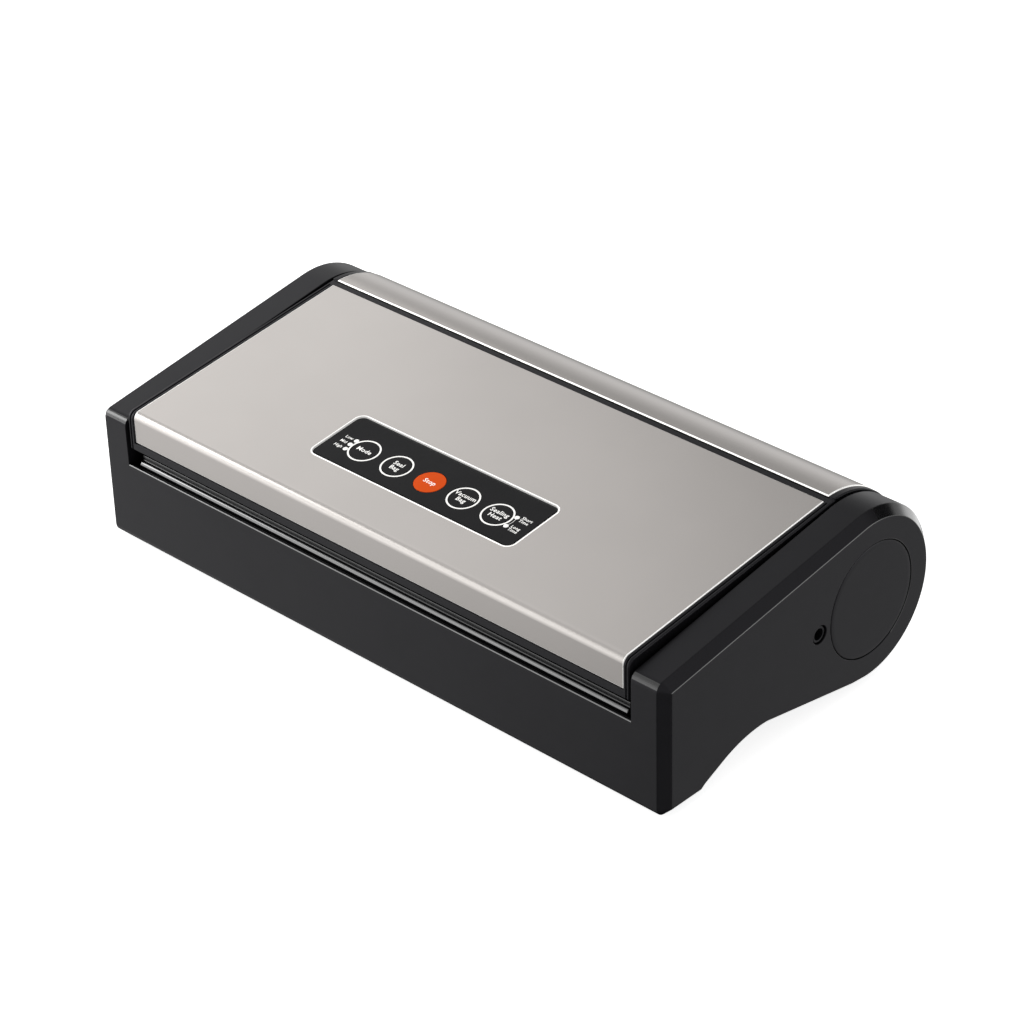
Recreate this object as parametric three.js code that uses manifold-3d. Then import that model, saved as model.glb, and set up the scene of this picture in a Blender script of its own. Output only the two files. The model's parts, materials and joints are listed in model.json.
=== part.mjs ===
// Countertop vacuum sealer: a hinged, steel-topped lid between two cheeks of a black plastic housing.
// Millimetres. X runs along the machine, Y from the front to the back, Z up from the table.
// Outlines are drawn as (y, z) points with y measured from the front face of the housing.
import * as THREE from 'three';
import { mergeVertices } from 'three/addons/utils/BufferGeometryUtils.js';
import Module from 'manifold-3d';

const wasm = await Module();
wasm.setup();

// ---------------------------------------------------------------- driving dimensions
const WIDTH = 400; // over both cheeks
const HALF = WIDTH / 2;
const CHAMFER = 5; // on the cheeks' outer edges
const CORNER_R = 5.3; // front top and front bottom edges of the housing
const FOOT_DROP = 2; // how far the feet stand out below the housing
const WALL = 2.8; // housing wall
const INNER_CHAMFER = 2.4;
const GAP = 0.3; // between neighbouring pieces
const LOBE_R = 49.6; // round rear end of each cheek
const HINGE_Y = 155.8;
const HINGE_Z = FOOT_DROP + LOBE_R;
const HINGE = [HINGE_Y, HINGE_Z];
const CHEEK_FRONT_Z = 78.5; // top of the cheeks, at the front face
const CHEEK_IN = 178.8; // inner faces of the cheeks
const FRONT_WALL_Z = 51.2; // top edge of the front wall between the cheeks
const FRONT_WALL = 1.8;
const FRONT_FOOT = 7; // the wall is thicker below FRONT_FOOT_Z
const FRONT_FOOT_Z = 12;
const CHEEK_OPEN_Y = 118; // the cheeks are open to the middle in front of this and below the deck
const CHEEK_OPEN_Z = 45;
const BOSS_R = 8; // round the hinge pins
const BOSS_END = 192;
const CAP_SEAT = 195; // depth of the recess for the hinge caps

const PAD_END = 28.6; // end of the flat strip under the front wall
const ARCH = [71.5, -49]; // centre of the arch under the housing
const ARCH_R = 65;
const RAMP_ANGLE = 24.2; // slope of the ramp that runs up into the arch
const RAMP_LENGTH = 14.4;
const SKEW = 0.38; // how the end of the strip moves back as the wall thickens

const DECK_Z = 56.5; // top of the work deck
const DECK_BACK = 111.2;
const DECK_T = 2.4;
// The deck's rounded front edge, a step lower than the deck itself.
const NOSE = { front: 3.3, low: 44, radius: 2.5, top: 53.5, step: 5.8 };
const NOSE_HALF = 173.5; // the nose stops short of the cheeks
const NOSE_BACK = 14;
const COVER_T = 2.4; // bottom cover and pump cover
const COVER_END = -70; // angle about the hinge where the bottom cover stops
const DRUM_R = 44.3; // pump cover, which the lid's rear shell turns around
const DRUM_HALF = 172.5;
const DRUM_FRONT = 173.6;
const DRUM_REAR = -95;

const LID_SLOPE = 6.45; // degrees
const LID_Z = 84; // lid plane at the front face
const LIP_Y = 1.6; // steel front lip
const LIP_Z = 66.2;
const FOLD_R = 4.5;
const SHEET = 0.8;
const STEEL_HALF = 173;
const MAIN_END = 149.9; // rear edge of the top plate
const REAR_R = 50.7; // outside of the rear cover plate
const REAR_FROM = 91.4;
const REAR_TO = 9;
const DEPTH = HINGE_Y + REAR_R * Math.cos(THREE.MathUtils.degToRad(REAR_TO)); // over the rear cover plate
const LID_HALF = 177;
const RIM_Z = 61.7; // underside of the lid
const RIM_Y = 0.9;
const RING_IN = 45.8; // inside of the lid's rear shell
const LID_TAIL = 7; // angle where the rear shell ends
const ARM_IN = 173.5; // the webs at the lid's ends, with a round boss on the hinge axis
const ARM_BOSS_R = 14;
const FRAME_TOP = 4; // thickness of the lid frame at its top, wall thickness at its ends and rear
const FRAME_END = 2.7;
const FRAME_REAR = 2.6;
const POCKET_DEPTH = 2.9; // seat of the control panel below the steel

const PANEL = { halfX: 71.1, halfU: 19.9, u: 51.7, radius: 5, top: -0.5, bottom: -2.6 };
const KEY_TOP = -0.35;
const BUTTON_R = 7.8;
const STOP_R = 8.5; // the middle button
const BUTTON_U = 49.3; // along the lid plane from the front face
const BUTTON_PITCH = 23.56;
const LED_R = 1.1;
const LED_TOP = -0.45;

const TRAY = { halfX: 149.6, y0: 38.4, y1: 57.6, z0: 42, wall: 1.6, flange: 3 };
const GASKET = { halfX: 164, y0: 28, y1: 68, radius: 12, width: 5 };
const SEAL = { halfX: 157, y0: 14, y1: 24 };
const STRIP_Z = [55.9, 56.5]; // heating strips
const CAP_R = 32;
const PIN_R = 4;
const PORT = [115.2, 51.1];
const PORT_R = 4.5;
const PORT_HOLE_R = 5.2;
const INLET = { y: 100, z: 44, halfY: 12, halfZ: 7 };
const FOOT_R = 6;
const FEET = [[-150, 17], [150, 17], [-150, HINGE_Y], [150, HINGE_Y]];
const SCREWS = [[-105, 10.8], [105, 10.8], [-105, HINGE_Y], [105, HINGE_Y]];
const SCREW_SHANK_R = 1.5;
const SCREW_HEAD_R = 3;
const POST_R = 3.6;
const POST_BORE_R = 1.9;
const RECESS_Z = 3.2; // feet and screw heads sit in recesses of the bottom cover this deep
const HOSE_R = 3.2;
const ELBOW = { x: 188.5, radius: 2.4 }; // below the accessory port
const TRAY_SPOUT = { at: [40, 48], radius: 3 };

// ---------------------------------------------------------------- geometry helpers
const radians = THREE.MathUtils.degToRad;
const degrees = THREE.MathUtils.radToDeg;
const point = (y, z) => new THREE.Vector2(y, z);

// Points on a circle; angles in degrees, 0 towards the back and 90 straight up.
function arc([y, z], radius, from, to, steps) {
  return Array.from({ length: steps + 1 }, (_, i) => {
    const angle = radians(from + ((to - from) * i) / steps);
    return point(y + radius * Math.cos(angle), z + radius * Math.sin(angle));
  });
}

function toSolid(geometry) {
  const bare = geometry.clone();
  bare.deleteAttribute('normal');
  bare.deleteAttribute('uv');
  const merged = mergeVertices(bare, 1e-4);
  const vertProperties = Float32Array.from(merged.getAttribute('position').array);
  const triVerts = Uint32Array.from(merged.index.array);
  return new wasm.Manifold(new wasm.Mesh({ numProp: 3, vertProperties, triVerts }));
}

function toGeometry(solid) {
  const { vertProperties, triVerts } = solid.getMesh();
  const geometry = new THREE.BufferGeometry();
  geometry.setAttribute('position', new THREE.BufferAttribute(Float32Array.from(vertProperties), 3));
  geometry.setIndex(new THREE.BufferAttribute(Uint32Array.from(triVerts), 1));
  geometry.computeVertexNormals();
  return geometry;
}

const join = (first, ...rest) => rest.reduce((sum, solid) => sum.add(solid), first);
const cut = (first, ...rest) => rest.reduce((left, solid) => left.subtract(solid), first);

const SIDE_VIEW = new THREE.Matrix4().makeBasis(
  new THREE.Vector3(0, 1, 0),
  new THREE.Vector3(0, 0, 1),
  new THREE.Vector3(1, 0, 0),
);
const LID_VIEW = new THREE.Matrix4()
  .makeTranslation(0, 0, LID_Z)
  .multiply(new THREE.Matrix4().makeRotationX(radians(LID_SLOPE)));

// A side outline pushed along X.
function sidePrism(points, fromX, toX) {
  const shape = new THREE.Shape(points);
  const geometry = new THREE.ExtrudeGeometry(shape, { depth: toX - fromX, bevelEnabled: false });
  return toSolid(geometry.applyMatrix4(SIDE_VIEW).translate(fromX, 0, 0));
}

// The same, centred on X = 0, with chamfered ends.
function chamferedPrism(points, halfLength, chamfer) {
  const geometry = new THREE.ExtrudeGeometry(new THREE.Shape(points), {
    depth: 2 * (halfLength - chamfer),
    bevelThickness: chamfer,
    bevelSize: chamfer,
    bevelOffset: -chamfer,
    bevelSegments: 1,
  });
  return toSolid(geometry.applyMatrix4(SIDE_VIEW).translate(chamfer - halfLength, 0, 0));
}

function box([x0, x1], [y0, y1], [z0, z1]) {
  const geometry = new THREE.BoxGeometry(x1 - x0, y1 - y0, z1 - z0);
  return toSolid(geometry.translate((x0 + x1) / 2, (y0 + y1) / 2, (z0 + z1) / 2));
}

function rodX(radius, [x0, x1], [y, z], segments = 20) {
  const geometry = new THREE.CylinderGeometry(radius, radius, x1 - x0, segments);
  return toSolid(geometry.rotateZ(-Math.PI / 2).translate((x0 + x1) / 2, y, z));
}

function rodZ(radius, [x, y], [z0, z1], segments = 14) {
  const geometry = new THREE.CylinderGeometry(radius, radius, z1 - z0, segments);
  return toSolid(geometry.rotateX(Math.PI / 2).translate(x, y, (z0 + z1) / 2));
}

function rodY(radius, [x, z], [y0, y1], segments = 12) {
  const geometry = new THREE.CylinderGeometry(radius, radius, y1 - y0, segments);
  return toSolid(geometry.translate(x, (y0 + y1) / 2, z));
}

// A turned piece whose axis is X: [radius, x] pairs that start and end on the axis, x rising.
function turnedX(profile, [y, z], segments = 20) {
  const geometry = new THREE.LatheGeometry(profile.map(([r, x]) => point(r, x)), segments);
  return toSolid(geometry.rotateZ(-Math.PI / 2).translate(0, y, z));
}

function roundedRect(halfX, halfY, radius) {
  const right = halfX - radius;
  const top = halfY - radius;
  return [
    ...arc([right, top], radius, 0, 90, 3),
    ...arc([-right, top], radius, 90, 180, 3),
    ...arc([-right, -top], radius, 180, 270, 3),
    ...arc([right, -top], radius, 270, 360, 3),
  ];
}

function plate(points, [z0, z1]) {
  const depth = z1 - z0;
  const geometry = new THREE.ExtrudeGeometry(new THREE.Shape(points), { depth, bevelEnabled: false });
  return geometry.translate(0, 0, z0);
}

// Pieces of the lid drawn in its own plane: x, u along the slope, v above the steel surface.
const onLid = (geometry, x, u) => toSolid(geometry.translate(x, u, 0).applyMatrix4(LID_VIEW));
const lidPlate = (halfX, halfU, radius, u, v) => onLid(plate(roundedRect(halfX, halfU, radius), v), 0, u);
function lidDisc(radius, [x, u], [v0, v1], segments) {
  const geometry = new THREE.CylinderGeometry(radius, radius, v1 - v0, segments);
  return onLid(geometry.rotateX(Math.PI / 2).translate(0, 0, (v0 + v1) / 2), x, u);
}

function ring({ halfX, y0, y1, radius, width }, z) {
  const centre = (y0 + y1) / 2;
  const halfY = (y1 - y0) / 2;
  const outer = toSolid(plate(roundedRect(halfX, halfY, radius), z).translate(0, centre, 0));
  const hole = plate(roundedRect(halfX - width, halfY - width, radius - width), [z[0] - 1, z[1] + 1]);
  return cut(outer, toSolid(hole.translate(0, centre, 0)));
}

function hose(points, radius) {
  const path = new THREE.CatmullRomCurve3(points.map(([x, y, z]) => new THREE.Vector3(x, y, z)));
  const section = new THREE.Shape(arc([0, 0], radius, 0, 315, 7));
  const steps = Math.round(path.getLength() / (5 * radius)) + 6;
  return toSolid(new THREE.ExtrudeGeometry(section, { steps, extrudePath: path, bevelEnabled: false }));
}

// ---------------------------------------------------------------- outlines
// The cheek's top edge runs from the front face to the lobe as a tangent.
const rise = HINGE_Z - CHEEK_FRONT_Z;
const cheekSlope = degrees(Math.atan2(rise, HINGE_Y) + Math.asin(LOBE_R / Math.hypot(HINGE_Y, rise)));
// The straight stretch under the body touches the arch from above and the lobe from below.
const between = point(HINGE_Y - ARCH[0], HINGE_Z - ARCH[1]);
const bellyNormal = degrees(between.angle() + Math.acos((ARCH_R + LOBE_R) / between.length()));

// Underside of the housing from the front strip to the lobe, moved into the body by an inset.
function underside(inset, startY, endAngle, lobeSteps) {
  const archRadius = ARCH_R + inset;
  const ramp = arc(ARCH, archRadius, 90 + RAMP_ANGLE, bellyNormal, 5);
  const along = point(Math.cos(radians(RAMP_ANGLE)), Math.sin(radians(RAMP_ANGLE)));
  return [
    point(startY, FOOT_DROP + inset),
    point(PAD_END - SKEW * inset, FOOT_DROP + inset),
    ramp[0].clone().addScaledVector(along, -RAMP_LENGTH),
    ...ramp,
    ...arc(HINGE, LOBE_R - inset, bellyNormal - 180, endAngle, lobeSteps),
  ];
}

function housingOutline(inset) {
  const cornerRadius = CORNER_R - inset;
  const slope = radians(cheekSlope);
  const topCorner = CHEEK_FRONT_Z + CORNER_R * Math.tan(slope) - CORNER_R / Math.cos(slope);
  return [
    ...arc([CORNER_R, FOOT_DROP + CORNER_R], cornerRadius, 180, 270, 3).slice(0, -1),
    ...underside(inset, CORNER_R, 90 + cheekSlope, 22),
    ...arc([CORNER_R, topCorner], cornerRadius, 90 + cheekSlope, 180, 3),
  ];
}

const lidTilt = radians(LID_SLOPE);
const lidPlaneZ = (y, offset) => LID_Z + y * Math.tan(lidTilt) + offset / Math.cos(lidTilt);

// Front lip, fold and sloping top of the lid, moved in from the steel surface by an offset.
function lidTop(front, bottom, fold, offset, end) {
  const centreY = front + fold;
  return [
    point(front, bottom),
    ...arc([centreY, lidPlaneZ(centreY, -offset - fold)], fold, 180, 90 + LID_SLOPE, 4),
    point(end, lidPlaneZ(end, -offset)),
  ];
}
const steelTop = (inset, end) => lidTop(LIP_Y + inset, LIP_Z, FOLD_R - inset, inset, end);

// ---------------------------------------------------------------- materials
const material = (name, color, roughness, metalness = 0) =>
  Object.assign(new THREE.MeshStandardMaterial({ color, roughness, metalness }), { name });
const blackPlastic = material('black_plastic', 0x2b2b2d, 0.5);
const glossPlastic = material('gloss_black', 0x0d0d0f, 0.12);
const steel = material('brushed_steel', 0xc3bfbb, 0.32, 1);
const panelBlack = material('panel_black', 0x232325, 0.42);
const orange = material('orange_plastic', 0xe8602c, 0.4);
const rubber = material('rubber', 0x1b1b1c, 0.85);
const silicone = material('silicone', 0xb9b4aa, 0.7);
const pinSteel = material('machined_steel', 0x8f9092, 0.3, 1);
const boardGreen = material('circuit_board', 0x1f5a37, 0.6);
const copper = material('copper_winding', 0x9a5a2c, 0.4, 1);
const tapeTan = material('ptfe_tape', 0x9c7a4e, 0.55);
const clear = material('led_lens', 0xe8e8e6, 0.25);

const assembly = new THREE.Group();
assembly.position.y = -DEPTH / 2;
function add(name, solid, finish) {
  const mesh = new THREE.Mesh(toGeometry(solid), finish);
  mesh.name = name;
  assembly.add(mesh);
}

// ---------------------------------------------------------------- housing
function baseHousing() {
  const outside = chamferedPrism(housingOutline(0), HALF, CHAMFER);
  const inside = chamferedPrism(housingOutline(WALL), HALF - WALL, INNER_CHAMFER);
  // Inner wall of each cheek, open to the middle below the deck.
  const opening = box([-HALF, HALF], [-1, CHEEK_OPEN_Y], [-1, CHEEK_OPEN_Z]);
  const innerWalls = [-1, 1].map((side) => {
    const [x0, x1] = side < 0 ? [-CHEEK_IN - WALL, -CHEEK_IN] : [CHEEK_IN, CHEEK_IN + WALL];
    return cut(sidePrism(housingOutline(1), x0, x1), opening);
  });
  const [outFront, outBack, outBelow, outAbove] = [-5, 230, -5, 130];
  const middle = [
    point(outFront, FRONT_WALL_Z),
    point(FRONT_WALL, FRONT_WALL_Z),
    point(FRONT_WALL, FRONT_FOOT_Z),
    point(FRONT_FOOT, FRONT_FOOT_Z),
    point(FRONT_FOOT, outBelow),
    point(outBack, outBelow),
    point(outBack, outAbove),
    point(outFront, outAbove),
  ];
  const betweenCheeks = sidePrism(middle, -CHEEK_IN, CHEEK_IN);
  let housing = cut(join(cut(outside, inside), ...innerWalls), betweenCheeks);
  for (const [x, y] of SCREWS.filter((screw) => screw[1] < HINGE_Y)) {
    const web = box([x - 1.2, x + 1.2], [1, y], [6, 26]);
    const post = join(rodZ(POST_R, [x, y], [5, 24]), web);
    housing = join(housing, cut(post, rodZ(POST_BORE_R, [x, y], [0, 21])));
  }
  for (const side of [-1, 1]) {
    const span = (a, b) => [side * a, side * b].sort((p, q) => p - q);
    housing = join(housing, rodX(BOSS_R, span(CHEEK_IN + 1, BOSS_END), HINGE));
    housing = cut(housing, rodX(PIN_R + GAP, span(CHEEK_IN - 1, BOSS_END + 2), HINGE));
    housing = cut(housing, rodX(CAP_R + GAP, span(CAP_SEAT, HALF + 1), HINGE, 36));
  }
  const inletSlot = box(
    [-HALF - 1, -CAP_SEAT],
    [INLET.y - INLET.halfY - GAP, INLET.y + INLET.halfY + GAP],
    [INLET.z - INLET.halfZ - GAP, INLET.z + INLET.halfZ + GAP],
  );
  return cut(housing, rodX(PORT_HOLE_R, [CAP_SEAT, HALF + 1], PORT), inletSlot);
}

function bottomCover() {
  const start = FRONT_FOOT + GAP;
  const outline = [
    ...underside(0, start, COVER_END, 8),
    ...arc(HINGE, DRUM_R + GAP, COVER_END, COVER_END - 4, 1),
    ...underside(COVER_T, start, COVER_END - 4, 8).reverse(),
  ];
  let cover = sidePrism(outline, GAP - CHEEK_IN, CHEEK_IN - GAP);
  for (const foot of FEET) cover = cut(cover, rodZ(FOOT_R + GAP, foot, [-1, RECESS_Z]));
  for (const screw of SCREWS) {
    cover = cut(cover, rodZ(POST_BORE_R, screw, [0, 8]), rodZ(SCREW_HEAD_R + 0.4, screw, [0, RECESS_Z]));
  }
  return cover;
}

function deck() {
  const { front, low, radius, top, step } = NOSE;
  const outline = [
    point(front, low),
    ...arc([front + radius, top - radius], radius, 180, 90, 5),
    point(step, DECK_Z),
    point(DECK_BACK, DECK_Z),
    point(DECK_BACK, DECK_Z - DECK_T),
    point(step + DECK_T, DECK_Z - DECK_T),
    point(step + DECK_T, top - DECK_T),
    point(front + DECK_T, top - DECK_T),
    point(front + DECK_T, low),
  ].reverse();
  const heights = [40, 60];
  return cut(
    sidePrism(outline, GAP - CHEEK_IN, CHEEK_IN - GAP),
    box([-CHEEK_IN, -NOSE_HALF], [0, NOSE_BACK], heights),
    box([NOSE_HALF, CHEEK_IN], [0, NOSE_BACK], heights),
    box([-SEAL.halfX - GAP, SEAL.halfX + GAP], [SEAL.y0 - GAP, SEAL.y1 + GAP], heights),
    box([-TRAY.halfX - GAP, TRAY.halfX + GAP], [TRAY.y0 - GAP, TRAY.y1 + GAP], heights),
    box([-172, -167], [40, 50], heights),
  );
}

// Drum-shaped cover over the pump, closed at both ends and open towards the front underneath.
function pumpCover() {
  const shell = [
    ...arc(HINGE, DRUM_R, DRUM_REAR, DRUM_FRONT, 24),
    ...arc(HINGE, DRUM_R - COVER_T, DRUM_FRONT, DRUM_REAR, 24),
  ];
  let cover = sidePrism(shell, -DRUM_HALF, DRUM_HALF);
  for (const x of [-DRUM_HALF, DRUM_HALF - COVER_T]) {
    cover = join(cover, rodX(DRUM_R - 0.6, [x, x + COVER_T], HINGE, 24));
  }
  for (const screw of SCREWS.filter(([, y]) => y === HINGE_Y)) {
    cover = cut(join(cover, rodZ(POST_R, screw, [5, 22])), rodZ(POST_BORE_R, screw, [4, 20]));
  }
  return cover;
}

function hingeCap(side) {
  const profile = [[0, 197.4], [28, 197.4], [28, 194], [30, 194], [30, 197.4], [CAP_R, 197.4],
    [CAP_R, HALF - 0.4], [CAP_R - 0.4, HALF], [0, HALF]];
  const cap = turnedX(profile, HINGE, 36);
  return side > 0 ? cap : cap.mirror([1, 0, 0]);
}

function hingePin(side) {
  const profile = [[0, 173.8], [PIN_R - 0.5, 173.8], [PIN_R, 174.3], [PIN_R, 192.3],
    [6.5, 192.3], [6.5, 193.7], [0, 193.7]];
  const pin = turnedX(profile, HINGE, 16);
  return side > 0 ? pin : pin.mirror([1, 0, 0]);
}

function accessoryPort() {
  const flange = PORT_R + 2;
  const profile = [[0, 184], [PORT_R, 184], [PORT_R, 193.7], [flange, 193.7], [flange, 196.8],
    [PORT_R, 196.8], [PORT_R, 198.9], [4.2, 199.2], [3.5, 199.2], [3.2, 198.9], [3.2, 187], [0, 187]];
  return join(turnedX(profile, PORT, 20), rodZ(ELBOW.radius, [ELBOW.x, PORT[0]], [42, 47]));
}

function powerInlet() {
  const { y, z, halfY, halfZ } = INLET;
  const body = box([-HALF + 0.2, -184], [y - halfY, y + halfY], [z - halfZ, z + halfZ]);
  const inside = -HALF + WALL + 0.4;
  const [rimY, rimZ] = [halfY + 2.5, halfZ + 2.5];
  const flange = box([inside, -193], [y - rimY, y + rimY], [z - rimZ, z + rimZ]);
  const socket = plate(roundedRect(8.6, 4.4, 4.2), [-HALF - 1, -188]).applyMatrix4(SIDE_VIEW);
  const pins = [-4.3, 4.3].map((offset) => rodX(1.2, [-196, -187], [y + offset, z], 8));
  return join(cut(join(body, flange), toSolid(socket.translate(0, y, z))), ...pins);
}

add('base_housing', baseHousing(), blackPlastic);
add('bottom_cover', bottomCover(), blackPlastic);
add('deck', deck(), glossPlastic);
add('pump_cover', pumpCover(), blackPlastic);
add('hinge_cap_left', hingeCap(-1), blackPlastic);
add('hinge_cap_right', hingeCap(1), blackPlastic);
add('hinge_pin_left', hingePin(-1), pinSteel);
add('hinge_pin_right', hingePin(1), pinSteel);
add('accessory_port', accessoryPort(), blackPlastic);
add('power_inlet', powerInlet(), blackPlastic);

const CORNERS = ['front_left', 'front_right', 'rear_left', 'rear_right'];
CORNERS.forEach((corner, i) => {
  const foot = join(rodZ(FOOT_R - 0.5, FEET[i], [0, 1]), rodZ(FOOT_R, FEET[i], [0.5, 2.9]));
  add(`foot_${corner}`, foot, rubber);
  const head = rodZ(SCREW_HEAD_R, SCREWS[i], [2.3, 2.9], 16);
  const screw = join(head, rodZ(SCREW_SHANK_R, SCREWS[i], [2.6, 18], 12));
  add(`bottom_screw_${corner}`, screw, pinSteel);
});

// ---------------------------------------------------------------- sealing and vacuum
function dripTray() {
  const { halfX, y0, y1, z0, wall, flange } = TRAY;
  const seat = DECK_Z + GAP;
  const rim = box([-halfX - flange, halfX + flange], [y0 - flange, y1 + flange], [seat, seat + 1]);
  const bowl = box([-halfX, halfX], [y0, y1], [z0, seat + 0.5]);
  const hollow = box([-halfX + wall, halfX - wall], [y0 + wall, y1 - wall], [z0 + wall, 70]);
  return join(cut(join(rim, bowl), hollow), rodZ(TRAY_SPOUT.radius, TRAY_SPOUT.at, [36, z0 + 1]));
}

const across = ({ halfX }, shrink = 0) => [-halfX + shrink, halfX - shrink];
add('drip_tray', dripTray(), glossPlastic);
add('heater_bar', box(across(SEAL), [SEAL.y0, SEAL.y1], [50, 55.6]), silicone);
add('heating_strip_front', box(across(SEAL, 2), [15.8, 18.2], STRIP_Z), pinSteel);
add('heating_strip_rear', box(across(SEAL, 2), [19.8, 22.2], STRIP_Z), pinSteel);
add('ptfe_tape', box(across(SEAL, -2), [12, 26], [56.8, 57.2]), tapeTan);
add('lower_gasket', ring(GASKET, [DECK_Z + GAP, 59.8]), rubber);

function pumpMotor() {
  const [y, z] = [HINGE_Y, 45];
  const can = rodX(17, [-44, 8], [y, z], 20);
  return join(can, rodX(7, [7, 12], [y, z], 12), rodX(2.5, [-50, 15], [y, z], 8));
}

function pumpHead() {
  return join(
    box([15.3, 52], [138, 174], [27.5, 60]),
    rodZ(11, [34, HINGE_Y], [59, 76]),
    rodY(3, [34, 50], [125, 139], 14),
    rodX(3, [51, 60], [150, 40], 14),
  );
}

function pumpBracket() {
  const base = box([-46, 54], [141, 170], [13.4, 15.4]);
  const uprights = [-32, 30].map((x) => box([x, x + 2], [143, 168], [15, 27]));
  return join(base, ...uprights);
}

function transformer() {
  return join(box([-130, -80], [138, 174], [22, 62]), box([-122, -88], [130, 182], [30, 54]));
}

function powerBoard() {
  const board = box([-150, -40], [66, 106], [26, 27.6]);
  const tall = [-138, -118, -98].map((x) => rodZ(6, [x, 80], [27, 42], 16));
  const blocks = [-80, -58].map((x) => box([x, x + 14], [74, 98], [27, 38]));
  return join(board, ...tall, ...blocks);
}

function lidSwitch() {
  return join(box([-175, -164], [37, 53], [43, 53.8]), box([-170.5, -168.5], [43.5, 46.5], [53, 54.6]));
}

add('pump_motor', pumpMotor(), pinSteel);
add('pump_head', pumpHead(), blackPlastic);
add('pump_bracket', pumpBracket(), pinSteel);
add('transformer', transformer(), copper);
add('power_board', powerBoard(), boardGreen);
add('lid_switch', lidSwitch(), blackPlastic);
const TRAY_HOSE = [[...TRAY_SPOUT.at, 35.4], [...TRAY_SPOUT.at, 33], [39.5, 56, 25], [37, 90, 24],
  [35, 108, 38], [34, 117, 49], [34, 121, 50], [34, 124.4, 50]];
const PORT_HOSE = [[ELBOW.x, PORT[0], 41.4], [ELBOW.x, PORT[0], 38], [184, 112, 30], [165, 108, 26],
  [120, 110, 25], [86, 130, 29], [72, 148, 38], [66, 150, 40], [60.6, 150, 40]];
add('vacuum_hose', hose(TRAY_HOSE, HOSE_R), silicone);
add('port_hose', hose(PORT_HOSE, HOSE_R), silicone);

// ---------------------------------------------------------------- lid
function lidFrame() {
  const outline = [
    ...lidTop(RIM_Y, RIM_Z, FOLD_R + 0.4, 0.3, 153.9),
    ...arc(HINGE, REAR_R - 0.3, 92.2, LID_TAIL, 11),
    ...arc(HINGE, RING_IN, LID_TAIL, 180 - degrees(Math.asin((RIM_Z - HINGE_Z) / RING_IN)), 18),
  ].reverse();
  const cavityR = RING_IN + FRAME_REAR;
  const reach = HINGE_Z - lidPlaneZ(HINGE_Y, -FRAME_TOP);
  const meet = 90 + LID_SLOPE + degrees(Math.acos((-reach * Math.cos(lidTilt)) / cavityR));
  const hollow = [
    ...lidTop(4.2, 55, 2, FRAME_TOP, HINGE_Y + cavityR * Math.cos(radians(meet))),
    ...arc(HINGE, cavityR, meet, 180 - degrees(Math.asin((55 - HINGE_Z) / cavityR)), 6),
  ].reverse();
  const inset = SHEET + GAP;
  const topPocket = [
    ...lidTop(LIP_Y + inset, LIP_Z - GAP, FOLD_R - inset, inset, MAIN_END + GAP),
    point(MAIN_END + GAP, 130),
    point(-10, 130),
    point(-10, LIP_Z - GAP),
  ].reverse();
  const rearPocket = [
    ...arc(HINGE, REAR_R - inset, REAR_TO - 0.4, REAR_FROM + 0.4, 11),
    ...arc(HINGE, 62, REAR_FROM + 0.4, REAR_TO - 0.4, 4),
  ];
  const pocketHalf = STEEL_HALF + GAP;
  let frame = cut(
    sidePrism(outline, -LID_HALF, LID_HALF),
    sidePrism(hollow, -LID_HALF + FRAME_END, LID_HALF - FRAME_END),
    sidePrism(topPocket, -pocketHalf, pocketHalf),
    sidePrism(rearPocket, -pocketHalf, pocketHalf),
    lidPlate(PANEL.halfX, PANEL.halfU, PANEL.radius, PANEL.u, [-POCKET_DEPTH, 3]),
    lidPlate(66, 15.5, 3, PANEL.u, [-12, -2]),
  );
  for (const side of [-1, 1]) {
    const span = (a, b) => [side * a, side * b].sort((p, q) => p - q);
    const web = [point(...HINGE), ...arc(HINGE, RING_IN + 1, 40, 140, 7)];
    const [x0, x1] = span(ARM_IN, LID_HALF);
    frame = join(frame, sidePrism(web, x0, x1), rodX(ARM_BOSS_R, [x0, x1], HINGE));
    frame = cut(frame, rodX(PIN_R + GAP, span(ARM_IN - 1, LID_HALF + 1), HINGE));
  }
  return frame;
}

function lidTopPlate() {
  const outline = [...steelTop(0, MAIN_END), ...steelTop(SHEET, MAIN_END).reverse()].reverse();
  return cut(
    sidePrism(outline, -STEEL_HALF, STEEL_HALF),
    lidPlate(PANEL.halfX, PANEL.halfU, PANEL.radius, PANEL.u, [-3, 3]),
  );
}

function rearCoverPlate() {
  const outline = [
    ...arc(HINGE, REAR_R, REAR_TO, REAR_FROM, 18),
    ...arc(HINGE, REAR_R - SHEET, REAR_FROM, REAR_TO, 18),
  ];
  return sidePrism(outline, -STEEL_HALF, STEEL_HALF);
}

function lidLiner() {
  const tab = box([-170.5, -168.5], [43, 47], [55.4, 63]);
  return join(box([-LID_HALF + 3, LID_HALF - 3], [4.5, 108], [62.3, 64.5]), tab);
}

const BUTTONS = ['button_mode', 'button_seal', 'button_stop', 'button_vacuum', 'button_heat'];
const buttonRadius = (name) => (name === 'button_stop' ? STOP_R : BUTTON_R);
const buttonAt = (i) => [(i - 2) * BUTTON_PITCH, BUTTON_U];
const LEDS = [[-56.8, 53.3], [-57.5, 49.3], [-56.8, 45.1], [56.8, 53.3], [56.8, 45.1]];

function controlPanel() {
  const { halfX, halfU, radius, u, bottom, top } = PANEL;
  let panel = lidPlate(halfX - GAP, halfU - GAP, radius - GAP, u, [bottom, top]);
  BUTTONS.forEach((name, i) => {
    panel = cut(panel, lidDisc(buttonRadius(name) + 0.25, buttonAt(i), [-4, 1], 20));
  });
  for (const led of LEDS) panel = cut(panel, lidDisc(LED_R + 0.2, led, [-4, 1], 8));
  return panel;
}

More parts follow.
